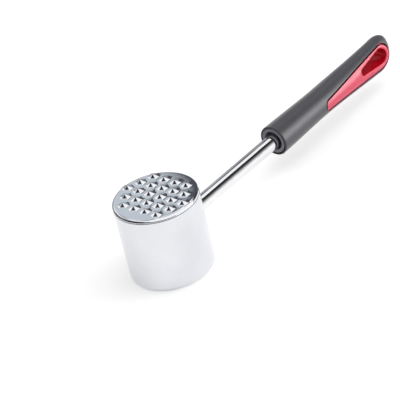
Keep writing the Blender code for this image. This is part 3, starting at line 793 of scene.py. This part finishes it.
shell = as_object("soft_grip", grip_loft(0.0, GRIP_FRONT, count=144, crown=ROUND, nose=GRIP_NOSE))
hollow = grip_loft(GRIP_WALL, HOLLOW_START, count=72, crown=ROUND)
join_or_cut(shell, hollow, 'DIFFERENCE')
mouth = handle_bar(MOUTH_RADIUS, MOUTH_START, MOUTH_END, steps=96)
join_or_cut(shell, mouth, 'DIFFERENCE')
join_or_cut(shell, panel_block(PANEL_SEAM), 'DIFFERENCE')
polish(shell, 34)
soft, tree, shader = moulded_plastic(
    "grip_soft_touch", colour=(0.056, 0.056, 0.066), worn=(0.049, 0.049, 0.058),
    gloss=0.38, depth=0.00004)
fill(tree, shader, {"Sheen Weight": 0.3, "Sheen Roughness": 0.4})
shell.data.materials.append(soft)
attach(shell, "root")
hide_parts("grip_shell")


# STUDIO
# A plain white floor, three soft lamps for the matt pieces, and a pale room that only the
# polished pieces mirror: white screens, black flags, bent cards close by and one lamp more.
# The camera stands where it stood for the photograph.
FLOOR_SIZE = 6.0
FLOOR_GREY = 0.80
FLOOR_GLOW = 0.33            # lifts the floor to white for the camera and in mirrored views
MIRRORED_SHARE = 0.7         # the part of that which polished pieces mirror
ROOM_DIFFUSE = 0.50
CARD_STEPS = 24
CARD_FOOT = 0.001
CARD_FADE = 0.018            # the cards round the head fade to white below this height
HEAD_CARD_REACH = 0.12
HEAD_CARD_BLUE = 1.06        # the tones are a touch bluer than grey
HEAD_CARD_TONES = (          # bearing round the head in degrees, and tone
    (0, 0.35), (101, 0.35), (107, 0.11), (145, 0.11), (154, 0.032), (182, 0.032),
    (190, 0.07), (205, 0.07), (236, 0.12), (256, 0.30),
)
HANDLE_CARD_REACH = 0.10
HANDLE_CARD_FADE = 0.084

floor_shape = bmesh.new()
bmesh.ops.create_grid(floor_shape, x_segments=1, y_segments=1, size=FLOOR_SIZE)
studio_floor = as_object("studio_floor", floor_shape)
floor_paint, tree, shader = new_material("floor_paint")
rays = add_node(tree, 'ShaderNodeLightPath').outputs
share = sums(tree, 'MULTIPLY_ADD', rays["Is Glossy Ray"], MIRRORED_SHARE, rays["Is Camera Ray"])
fill(tree, shader, {
    "Base Color": (FLOOR_GREY, FLOOR_GREY, FLOOR_GREY),
    "Roughness": 0.9,
    "Specular IOR Level": 0.0,
    "Emission Color": (1.0, 1.0, 1.0),
    "Emission Strength": sums(tree, 'MULTIPLY', share, FLOOR_GLOW),
})
studio_floor.data.materials.append(floor_paint)


def card(name, first, last, reach, start, end, along_handle=False):
    """Bent card round the head's axis or the rod's. Only mirrored views see it."""
    shape = bmesh.new()
    if along_handle:
        places = ((start, -reach, ROD_HEIGHT), (end, -reach, ROD_HEIGHT))
        centre, axis, turn = (0, 0, ROD_HEIGHT), (1, 0, 0), Matrix.Rotation(radians(-first), 3, 'X')
        sweep = radians(first - last)
    else:
        places = ((reach, 0, start), (reach, 0, end))
        centre, axis, turn = (0, 0, 0), (0, 0, 1), Matrix.Rotation(radians(first), 3, 'Z')
        sweep = radians(last - first)
    ends = [shape.verts.new(place) for place in places]
    shape.edges.new(ends)
    bmesh.ops.rotate(shape, cent=centre, verts=ends, matrix=turn)
    bmesh.ops.spin(
        shape, geom=shape.verts[:] + shape.edges[:], cent=centre, axis=axis,
        dvec=(0, 0, 0), angle=sweep, steps=CARD_STEPS, use_duplicate=False,
    )
    item = as_object(name, shape)
    item.visible_camera = item.visible_diffuse = item.visible_shadow = False
    return item


def card_paint(name):
    """Paint that shows only its own tone. Gives also the place on the card to shade it by."""
    paint, tree, shader = new_material(name)
    fill(tree, shader, {
        "Base Color": (0.0, 0.0, 0.0), "Specular IOR Level": 0.0, "Emission Strength": 1.0})
    place = add_node(tree, 'ShaderNodeSeparateXYZ', {"Vector": on_piece(tree)}).outputs
    return paint, tree, shader, place


head_paint, tree, shader, place = card_paint("head_card_tones")
turned = sums(tree, 'WRAP', sums(tree, 'ARCTAN2', place["Y"], place["X"]), 2 * pi, 0.0)
tones = add_node(tree, 'ShaderNodeValToRGB', {"Fac": sums(tree, 'DIVIDE', turned, 2 * pi)})
stops = tones.color_ramp.elements
for number, (degrees, tone) in enumerate(HEAD_CARD_TONES):
    stop = stops[number] if number < 2 else stops.new(degrees / 360)
    stop.position = degrees / 360
    stop.color = (tone, tone, tone * HEAD_CARD_BLUE, 1.0)
above_foot = rise(tree, place["Z"], 0.0, CARD_FADE)
shown = blend(tree, above_foot, (1.0, 1.0, 1.0), tones.outputs["Color"])
fill(tree, shader, {"Emission Color": shown})
for name, first, last, top in (
    ("back_card_low", 8, 34, 0.054),
    ("back_card", 34, 104, 0.09),
    ("far_left_card", 104, 150, 0.09),
    ("left_card", 150, 186, 0.10),
    ("near_left_card", 186, 204, 0.075),
    ("near_card", 204, 262, 0.046),
):
    bent = card(name, first, last, HEAD_CARD_REACH, CARD_FOOT, top)
    bent.data.materials.append(head_paint)

handle_paint, tree, shader, place = card_paint("handle_card_tones")
shown = rise(tree, place["Z"], ROD_HEIGHT, ROD_HEIGHT + HANDLE_CARD_FADE, 0.85, 0.03)
fill(tree, shader, {"Emission Color": shown})
bent = card("handle_card", -3, 78, HANDLE_CARD_REACH, start=0.09, end=0.42, along_handle=True)
bent.data.materials.append(handle_paint)

room = bpy.data.worlds.new("pale_room")
bpy.context.scene.world = room
room.use_nodes = True
tree = room.node_tree
tree.nodes.clear()
gaze = add_node(tree, 'ShaderNodeTexCoord').outputs["Generated"]
parts = add_node(tree, 'ShaderNodeSeparateXYZ', {"Vector": gaze}).outputs
bearing = sums(tree, 'MULTIPLY', sums(tree, 'ARCTAN2', parts["Y"], parts["X"]), 180 / pi)
lift = sums(tree, 'MULTIPLY', sums(tree, 'ARCSINE', parts["Z"]), 180 / pi)


def screen(shade, centre, half_width, low, high, soft, colour, soft_top):
    """Hang a screen or flag in the room: bearing, height and softness in degrees, and its tone."""
    turned = sums(tree, 'WRAP', sums(tree, 'SUBTRACT', bearing, centre), 180.0, -180.0)
    turned = sums(tree, 'ABSOLUTE', turned)
    cover = rise(tree, turned, half_width + soft, half_width - soft)
    cover = sums(tree, 'MULTIPLY', cover, rise(tree, lift, low - soft, low + soft))
    if high < 90:
        edge = soft if soft_top is None else soft_top
        cover = sums(tree, 'MULTIPLY', cover, rise(tree, lift, high + edge, high - edge))
    return blend(tree, cover, shade, colour)


mirrored = (0.85, 0.85, 0.86)
# Bearing of the middle, half width, lowest and highest, softness, tone, softness of the top.
for centre, half_width, low, high, soft, colour, soft_top in (
    (0, 200, 58, 90, 12, (0.62, 0.63, 0.65), None),          # ceiling
    (-82, 56, -20, 66, 8, (1.0, 1.0, 1.0), None),            # large white screen on the right
    (-3, 38, 47, 62, 4, (1.0, 1.0, 1.0), None),              # its top, carried round the back
    (206, 44, 10, 82, 9, (1.0, 1.0, 1.0), None),             # white screen beside the camera
    (56, 14, 8, 56, 3, (0.57, 0.62, 0.66), None),            # grey-blue wall behind
    (62, 16, -2, 16, 4, (2.2, 2.2, 2.2), None),              # low gleam behind the handle
    (14, 33, -40, 43, 0.9, (0.075, 0.075, 0.09), 3),         # black gap behind on the right
    (87, 18, 2, 32, 5, (1.0, 1.0, 1.0), None),               # lit screen on the left
    (92, 26, 35, 50, 5, (0.42, 0.43, 0.46), None),           # above it
    (155, 32, -40, 30, 7, (0.07, 0.07, 0.08), None),         # black flag on the left
    (152, 26, 65, 84, 4, (0.03, 0.03, 0.04), None),          # flag over the camera
):
    mirrored = screen(mirrored, centre, half_width, low, high, soft, colour, soft_top)
rays = add_node(tree, 'ShaderNodeLightPath').outputs
level = blend(tree, rays["Is Glossy Ray"], (ROOM_DIFFUSE, ROOM_DIFFUSE, ROOM_DIFFUSE), mirrored)
level = blend(tree, rays["Is Camera Ray"], level, (1.0, 1.0, 1.0))
background = add_node(tree, 'ShaderNodeBackground', {"Color": level, "Strength": 1.0})
add_node(tree, 'ShaderNodeOutputWorld', {"Surface": background.outputs["Background"]})


def soft_lamp(name, place, aim, width, height, power, mirrored=False):
    """Soft lamp that lights matt pieces, or one that is only mirrored in glossy ones."""
    lamp = bpy.data.lights.new(name, 'AREA')
    lamp.shape = 'RECTANGLE'
    lamp.size = width
    lamp.size_y = height
    lamp.energy = power
    item = bpy.data.objects.new(name, lamp)
    bpy.context.scene.collection.objects.link(item)
    item.location = place
    item.rotation_euler = (Vector(aim) - Vector(place)).to_track_quat('-Z', 'Y').to_euler()
    item.visible_diffuse = not mirrored
    item.visible_glossy = mirrored


RIGHT_LAMP = ((0.72, -0.75, 0.19), (0.18, 0.0, 0.02), 0.6, 0.34)    # place, aim, width, height
soft_lamp("top_softbox", (0.5, -0.3, 1.5), (0.1, 0.0, 0.0), 1.6, 1.6, 10.0)
soft_lamp("left_softbox", (-0.2, 1.4, 0.9), (0.1, 0.0, 0.05), 1.2, 1.2, 8.0)
soft_lamp("right_softbox", *RIGHT_LAMP, 5.5)
soft_lamp("right_gleam", *RIGHT_LAMP, 11.0, mirrored=True)

CAMERA_LENS = 181.545        # this and the next four were fitted to the photograph
CAMERA_PLACE = (-0.69874, -0.77290, 0.68592)
CAMERA_RIGHT = (0.61647, -0.76034, -0.20457)
CAMERA_UP = (0.52609, 0.20445, 0.82549)
CAMERA_BACK = (-0.58582, -0.61651, 0.52604)
camera = bpy.data.cameras.new("photo_camera")
camera.sensor_width = 36.0
camera.lens = CAMERA_LENS
camera.clip_start = 0.05
camera.clip_end = 50.0
photo_camera = bpy.data.objects.new("photo_camera", camera)
bpy.context.scene.collection.objects.link(photo_camera)
stand = Matrix((CAMERA_RIGHT, CAMERA_UP, CAMERA_BACK)).transposed().to_4x4()
stand.translation = CAMERA_PLACE
photo_camera.matrix_world = stand
bpy.context.scene.camera = photo_camera
bpy.context.scene.view_settings.view_transform = 'Standard'
